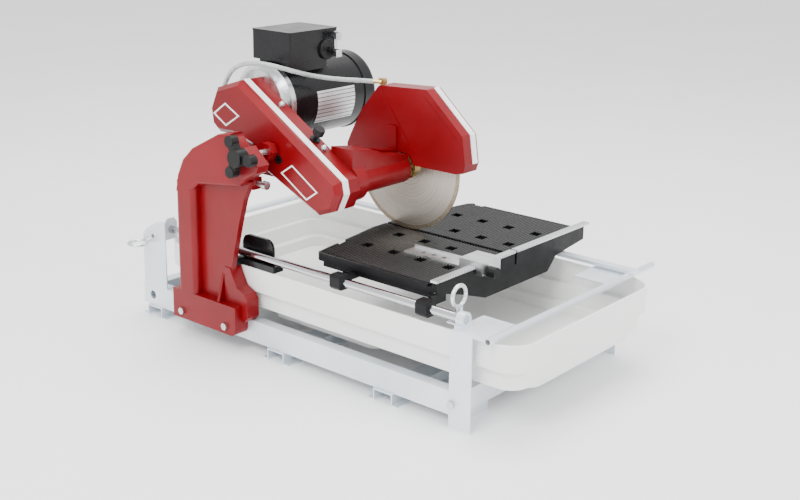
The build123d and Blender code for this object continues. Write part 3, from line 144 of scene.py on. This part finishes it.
floor_finish = surface("floor_sheet", (0.95, 0.95, 0.95), (0.98, 0.98, 0.98), 3.0, (0.6, 0.75), 180.0, 0.00005)
floor_mesh = bpy.data.meshes.new("floor_sheet")
floor_mesh.from_pydata([(-9, -9, 0), (9, -9, 0), (9, 9, 0), (-9, 9, 0)], [], [(0, 1, 2, 3)])
floor_mesh.materials.append(floor_finish)
floor_sheet = bpy.data.objects.new("floor_sheet", floor_mesh)
bpy.context.scene.collection.objects.link(floor_sheet)

world = bpy.data.worlds.new("studio")
world.use_nodes = True
world.node_tree.nodes["Background"].inputs["Color"].default_value = (1.0, 1.0, 1.0, 1.0)
world.node_tree.nodes["Background"].inputs["Strength"].default_value = 1.5
bpy.context.scene.world = world


def soft_light(name, spot, aim, size, power):
    """Square lamp at a spot, turned to its aim."""
    lamp = bpy.data.lights.new(name, "AREA")
    lamp.size = size
    lamp.energy = power
    holder = bpy.data.objects.new(name, lamp)
    bpy.context.scene.collection.objects.link(holder)
    holder.matrix_world = Matrix.Translation(spot) @ (
        (Vector(aim) - Vector(spot)).to_track_quat("-Z", "Y").to_matrix().to_4x4())


soft_light("lamp_left", (-2.2, -0.4, 2.2), (0, 0, 0.3), 1.2, 66)
soft_light("lamp_top", (0.3, 0.3, 2.8), (0, 0, 0.2), 2.2, 85)
soft_light("lamp_front", (0.6, -2.6, 1.6), (0, 0, 0.3), 1.8, 38)

# ---------------------------------------------------------------- water hose
# A clear vinyl hose from the brass elbow on the blade guard, in front of the motor and over the arm's top,
# down to the elbow on the arm's rear edge. It is pushed over a barb at each end.
hose_points = [
    (-0.0260, 0.0700, 0.5070),
    (-0.0400, 0.0920, 0.5080),
    (-0.0760, 0.1260, 0.5110),
    (-0.1180, 0.1430, 0.5200),
    (-0.1600, 0.1490, 0.5320),
    (-0.1930, 0.1720, 0.5450),
    (-0.2110, 0.2090, 0.5500),
    (-0.2160, 0.2490, 0.5410),
    (-0.2130, 0.2810, 0.5190),
    (-0.2070, 0.3020, 0.4900),
]
hose_curve = bpy.data.curves.new("vinyl_hose", "CURVE")
hose_curve.dimensions = "3D"
hose_curve.bevel_depth = 0.0045
hose_curve.bevel_resolution = 6
hose_curve.resolution_u = 16
hose_curve.use_fill_caps = True
hose_line = hose_curve.splines.new("NURBS")
hose_line.points.add(len(hose_points) - 1)
for knot, point in zip(hose_line.points, hose_points):
    knot.co = (*point, 1.0)
hose_line.order_u = 3
hose_line.use_endpoint_u = True
vinyl_hose = bpy.data.objects.new("vinyl_hose", hose_curve)
bpy.context.scene.collection.objects.link(vinyl_hose)

vinyl, vinyl_tree, vinyl_shader = new_material("clear_vinyl")
vinyl_tree.links.new(
    tint(vinyl_tree, cloud(vinyl_tree, 60.0), [(0.3, (0.44, 0.46, 0.46)), (0.7, (0.62, 0.64, 0.64))]),
    vinyl_shader.inputs["Base Color"])
vinyl_tree.links.new(between(vinyl_tree, cloud(vinyl_tree, 150.0), 0.12, 0.25), vinyl_shader.inputs["Roughness"])
relief(vinyl_tree, vinyl_shader, cloud(vinyl_tree, 400.0), 0.0001)
vinyl_shader.inputs["Transmission Weight"].default_value = 0.35
vinyl_shader.inputs["IOR"].default_value = 1.5
hose_curve.materials.append(vinyl)
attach(vinyl_hose, "head")
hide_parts("water_hose")

# ---------------------------------------------------------------- steel frame
# Two rails, two cross-members, two skids and four corner posts of folded sheet, zinc plated after folding.
zinc = surface("zinc_plate", (0.66, 0.72, 0.78), (0.80, 0.85, 0.89), 9.0, (0.34, 0.5), 700.0, 0.00004, 0.55)
dress(zinc, "frame_rail_left", "frame_rail_right", "frame_skids", "frame_cross_members", "front_posts",
      "rear_posts", "cart_rail", "rod_clamps")
tube_zinc = surface("drawn_zinc_tube", (0.70, 0.74, 0.79), (0.86, 0.89, 0.92), 14.0, (0.25, 0.4), 900.0, 0.00003,
                    0.7, (0.05, 1, 1))
dress(tube_zinc, "cross_tubes")

# ---------------------------------------------------------------- screws, pins and shafts
# Cold-headed and turned steel, zinc flashed, with fine turning marks.
bright = surface("bright_steel", (0.50, 0.51, 0.53), (0.72, 0.73, 0.75), 60.0, (0.22, 0.38), 1500.0, 0.00002, 1.0)
dress(bright, "frame_screws", "pivot_shaft", "arbor_shaft", "arbor_nut", "arbor_bearings", "arm_fasteners",
      "switch_bracket", "lock_stud", "cart_axles", "cart_wheel_front", "cart_wheel_rear", "depth_stop")
pin_steel = surface("pin_steel", (0.66, 0.68, 0.70), (0.84, 0.85, 0.87), 40.0, (0.2, 0.34), 900.0, 0.00003, 0.9)
dress(pin_steel, "ring_pin_front", "ring_pin_rear")

# ---------------------------------------------------------------- guide rod
# Hard chromed round bar that the cart's bearings run on. Its clamps are zinc plated like the frame.
chrome = surface("hard_chrome", (0.36, 0.37, 0.39), (0.66, 0.67, 0.69), 25.0, (0.06, 0.14), 1200.0, 0.00001, 1.0,
                 (1, 0.04, 1))
dress(chrome, "guide_rod")

# ---------------------------------------------------------------- water pan
# One moulded tub of white polyethylene with a faint grained skin. The drain plug and the knobs are black mouldings.
pan_white = surface("pan_polyethylene", (0.83, 0.83, 0.81), (0.90, 0.90, 0.89), 5.0, (0.3, 0.42), 900.0, 0.00006,
                    0.0, (1, 1, 1), 0.15)
dress(pan_white, "water_pan")
black_moulding = surface("black_moulding", (0.004, 0.004, 0.004), (0.010, 0.010, 0.010), 50.0, (0.3, 0.45), 1400.0,
                         0.00005, gleam=0.2)
dress(black_moulding, "drain_plug", "belt_tensioner", "lock_knob", "cable_gland", "switch_body",
      "switch_toggle", "cover_grommet", "guide_thumbscrew")

# ---------------------------------------------------------------- red castings
# Sand castings of the column, the arm and its cover, and the pressed blade guard, in thick red enamel that
# has settled into a soft skin over the cast grain.
enamel = surface("red_enamel", (0.145, 0.001, 0.003), (0.20, 0.002, 0.006), 7.0, (0.3, 0.4), 260.0, 0.00012, 0.0,
                 (1, 1, 1), 0.10, 0.22)
dress(enamel, "column", "arm_casting", "belt_cover", "blade_guard", "guard_bracket")
trim_white = surface("white_vinyl_trim", (0.82, 0.82, 0.81), (0.92, 0.92, 0.92), 30.0, (0.25, 0.36), 800.0, 0.00003)
dress(trim_white, "white_trims")
rubber = surface("belt_rubber", (0.010, 0.010, 0.010), (0.022, 0.022, 0.022), 60.0, (0.6, 0.8), 900.0, 0.0001)
dress(rubber, "drive_belt")

# ---------------------------------------------------------------- motor
# Rolled shell and cast end bell in black enamel, and a machined aluminium front bell with turning rings.
motor_black = surface("motor_black", (0.003, 0.003, 0.004), (0.007, 0.007, 0.008), 12.0, (0.22, 0.32), 500.0, 0.00006,
                      0.0, (1, 1, 1), 0.1, 0.25)
dress(motor_black, "motor_shell", "motor_rear_bell", "control_box", "box_lid", "rod_shield")
turned = surface("turned_aluminium", (0.60, 0.61, 0.62), (0.82, 0.83, 0.84), 30.0, (0.22, 0.36), 900.0, 0.00004, 1.0,
                 (8, 1, 1))
dress(turned, "motor_front_bell")
core_iron = surface("core_iron", (0.10, 0.10, 0.11), (0.22, 0.22, 0.23), 40.0, (0.4, 0.6), 700.0, 0.00008, 0.9)
dress(core_iron, "motor_rotor", "motor_stator", "motor_pulley", "arbor_pulley")
foil, foil_tree, foil_shader = new_material("ruled_label_foil")
foil_spot = foil_tree.nodes.new("ShaderNodeTexCoord")
foil_axes = foil_tree.nodes.new("ShaderNodeSeparateXYZ")
foil_tree.links.new(foil_spot.outputs["Object"], foil_axes.inputs["Vector"])


def graduations(tree, along, pitch, width):
    """1 on a line of a width at every pitch along a bar, 0 between: how far the place is from the nearest
    multiple of the pitch, against half the width."""
    nearest = tree.nodes.new("ShaderNodeMath")
    nearest.operation = "PINGPONG"
    nearest.inputs[1].default_value = pitch / 2
    tree.links.new(along, nearest.inputs[0])
    line = tree.nodes.new("ShaderNodeMath")
    line.operation = "LESS_THAN"
    line.inputs[1].default_value = width / 2
    tree.links.new(nearest.outputs[0], line.inputs[0])
    return line.outputs[0]


foil_rules = graduations(foil_tree, foil_axes.outputs["Z"], 0.008, 0.0016)
foil_bare = tint(foil_tree, cloud(foil_tree, 25.0), [(0.3, (0.58, 0.59, 0.60)), (0.7, (0.78, 0.79, 0.80))])
foil_mix = foil_tree.nodes.new("ShaderNodeMix")
foil_mix.data_type = "RGBA"
foil_mix.inputs[7].default_value = (0.10, 0.10, 0.10, 1.0)
foil_tree.links.new(foil_rules, foil_mix.inputs["Factor"])
foil_tree.links.new(foil_bare, foil_mix.inputs[6])
foil_tree.links.new(foil_mix.outputs[2], foil_shader.inputs["Base Color"])
foil_tree.links.new(between(foil_tree, cloud(foil_tree, 70.0), 0.3, 0.42), foil_shader.inputs["Roughness"])
relief(foil_tree, foil_shader, cloud(foil_tree, 1200.0), 0.00002)
foil_shader.inputs["Metallic"].default_value = 0.6
dress(foil, "motor_label")

# ---------------------------------------------------------------- blade
# Steel core ground in rings, between two brass-coloured flanges, with a darker sintered diamond rim.
blade_low, blade_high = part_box("blade")
blade_centre = (blade_low + blade_high) / 2
blade_steel, blade_tree, blade_shader = new_material("ground_blade_steel")
spot = blade_tree.nodes.new("ShaderNodeTexCoord")
centred = blade_tree.nodes.new("ShaderNodeVectorMath")
centred.operation = "SUBTRACT"
centred.inputs[1].default_value = blade_centre
reach = blade_tree.nodes.new("ShaderNodeVectorMath")
reach.operation = "LENGTH"
rings = blade_tree.nodes.new("ShaderNodeTexNoise")
rings.noise_dimensions = "1D"
rings.inputs["Scale"].default_value = 900.0
rings.inputs["Detail"].default_value = 4.0
blade_tree.links.new(spot.outputs["Object"], centred.inputs[0])
blade_tree.links.new(centred.outputs["Vector"], reach.inputs[0])
blade_tree.links.new(reach.outputs["Value"], rings.inputs["W"])
rim_edge = between(blade_tree, reach.outputs["Value"], 0.0, 1.0, 0.1185, 0.1192)
core_colour = tint(blade_tree, rings.outputs["Fac"], [(0.3, (0.46, 0.42, 0.36)), (0.7, (0.66, 0.62, 0.55))])
rim_colour = tint(blade_tree, cloud(blade_tree, 500.0), [(0.35, (0.30, 0.24, 0.17)), (0.65, (0.48, 0.41, 0.31))])
mix = blade_tree.nodes.new("ShaderNodeMix")
mix.data_type = "RGBA"
blade_tree.links.new(rim_edge, mix.inputs["Factor"])
blade_tree.links.new(core_colour, mix.inputs[6])
blade_tree.links.new(rim_colour, mix.inputs[7])
blade_tree.links.new(mix.outputs[2], blade_shader.inputs["Base Color"])
blade_tree.links.new(between(blade_tree, rings.outputs["Fac"], 0.24, 0.4), blade_shader.inputs["Roughness"])
relief(blade_tree, blade_shader, rings.outputs["Fac"], 0.00004)
blade_shader.inputs["Metallic"].default_value = 0.9
dress(blade_steel, "blade")
brass = surface("turned_brass", (0.50, 0.36, 0.14), (0.70, 0.53, 0.25), 60.0, (0.2, 0.34), 1200.0, 0.00003, 1.0)
dress(brass, "blade_flanges", "water_fittings")

# ---------------------------------------------------------------- cart
# Black cast aluminium table with ball bearings on the rod, a drawn aluminium ruler with cut graduations,
# and a folded aluminium angle guide.
cart_black = surface("cart_black", (0.003, 0.003, 0.004), (0.009, 0.009, 0.010), 20.0, (0.34, 0.48), 600.0, 0.0001,
                     gleam=0.18)
dress(cart_black, "cart_table", "cart_bearings")
guide_metal = surface("sawn_aluminium", (0.62, 0.63, 0.64), (0.80, 0.81, 0.82), 30.0, (0.28, 0.42), 1000.0, 0.00004,
                      1.0, (1, 0.1, 1))
dress(guide_metal, "angle_guide")

ruler_metal, ruler_tree, ruler_shader = new_material("graduated_aluminium")
ruler_spot = ruler_tree.nodes.new("ShaderNodeTexCoord")
ruler_axes = ruler_tree.nodes.new("ShaderNodeSeparateXYZ")
ruler_tree.links.new(ruler_spot.outputs["Object"], ruler_axes.inputs["Vector"])

marks = graduations(ruler_tree, ruler_axes.outputs["X"], 0.00635, 0.0011)
bare = tint(ruler_tree, cloud(ruler_tree, 25.0, (0.1, 1, 1)), [(0.3, (0.60, 0.61, 0.62)), (0.7, (0.78, 0.79, 0.80))])
ruler_mix = ruler_tree.nodes.new("ShaderNodeMix")
ruler_mix.data_type = "RGBA"
ruler_mix.inputs[7].default_value = (0.03, 0.03, 0.03, 1.0)
ruler_tree.links.new(marks, ruler_mix.inputs["Factor"])
ruler_tree.links.new(bare, ruler_mix.inputs[6])
ruler_tree.links.new(ruler_mix.outputs[2], ruler_shader.inputs["Base Color"])
ruler_tree.links.new(between(ruler_tree, cloud(ruler_tree, 90.0, (0.1, 1, 1)), 0.3, 0.45),
                     ruler_shader.inputs["Roughness"])
relief(ruler_tree, ruler_shader, cloud(ruler_tree, 1200.0, (0.05, 1, 1)), 0.00003)
ruler_shader.inputs["Metallic"].default_value = 0.85
dress(ruler_metal, "cart_ruler")
mat_rubber = surface("mat_rubber", (0.003, 0.003, 0.003), (0.008, 0.008, 0.008), 60.0, (0.28, 0.4), 900.0, 0.00003,
                     gleam=0.4)
dress(mat_rubber, "cart_mats")

REAR_PEAK, REAR_SIDE = 0.0485, 0.016
REAR_CORNER, REAR_SLOPE = 0.040, 0.185
CELLS_PER_RIB = 8


def ribbed_mat(name, x_left, x_right, y_front, y_rear, holes_x, holes_y, half_hole, base, height, pitch):
    """Ribbed sheet over a rectangle of the table, with square holes.

    The height above the table is a smooth wave along Y: base plus height times the square root of half of one
    minus the cosine of a full turn per pitch, so the ribs run along X with rounded tops and narrow grooves.
    Cells whose middle lies inside a hole, or behind the mat's rear edge, are left out. The rear edge is level to
    REAR_CORNER out from the blade, and then falls in a straight line from REAR_PEAK to REAR_SIDE over REAR_SLOPE.
    """
    cuts = [x_left, x_right]
    for x in holes_x:
        cuts += [x - half_hole, x + half_hole]
    xs = np.unique(np.concatenate([np.array([c for c in cuts if x_left <= c <= x_right]),
                                   np.linspace(x_left, x_right, 25)]))
    ys = np.arange(y_front, y_rear, pitch / CELLS_PER_RIB)
    grid_x, grid_y = np.meshgrid(xs, ys, indexing="ij")
    turn = 2 * np.pi * (grid_y - y_front) / pitch
    grid_z = base + height * np.sqrt((1 - np.cos(turn)) / 2)
    corners = np.stack([grid_x, grid_y, grid_z], axis=-1).reshape(-1, 3)
    faces = []
    for i in range(len(xs) - 1):
        for j in range(len(ys) - 1):
            x, y = (xs[i] + xs[i + 1]) / 2, (ys[j] + ys[j + 1]) / 2
            in_column = any(abs(x - hole_x) < half_hole for hole_x in holes_x)
            in_row = any(abs(y - hole_y) < half_hole for hole_y in holes_y)
            edge = REAR_PEAK - (REAR_PEAK - REAR_SIDE) * max(0.0, (abs(x) - REAR_CORNER) / REAR_SLOPE)
            if not (in_column and in_row) and y < edge:
                first = i * len(ys) + j
                faces.append((first, first + len(ys), first + len(ys) + 1, first + 1))
    mesh = bpy.data.meshes.new(name)
    mesh.from_pydata(corners.tolist(), [], faces)
    mesh.polygons.foreach_set("use_smooth", [True] * len(faces))
    mesh.materials.append(mat_rubber)
    sheet = bpy.data.objects.new(name, mesh)
    bpy.context.scene.collection.objects.link(sheet)
    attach(sheet, "cart")


hole_ys = (-0.213, -0.148, -0.083, -0.018)
half_hole, mat_top, rib_height, rib_pitch = 0.010, 0.2166, 0.0022, 0.0065
for side, x_left, x_right, hole_xs in (
        ("left", -0.226, -0.0055, (-0.138, -0.047)), ("right", 0.0055, 0.226, (0.047, 0.138))):
    ribbed_mat("ribbed_mat_" + side, x_left, x_right, -0.240, 0.050, hole_xs, hole_ys, half_hole, mat_top,
               rib_height, rib_pitch)
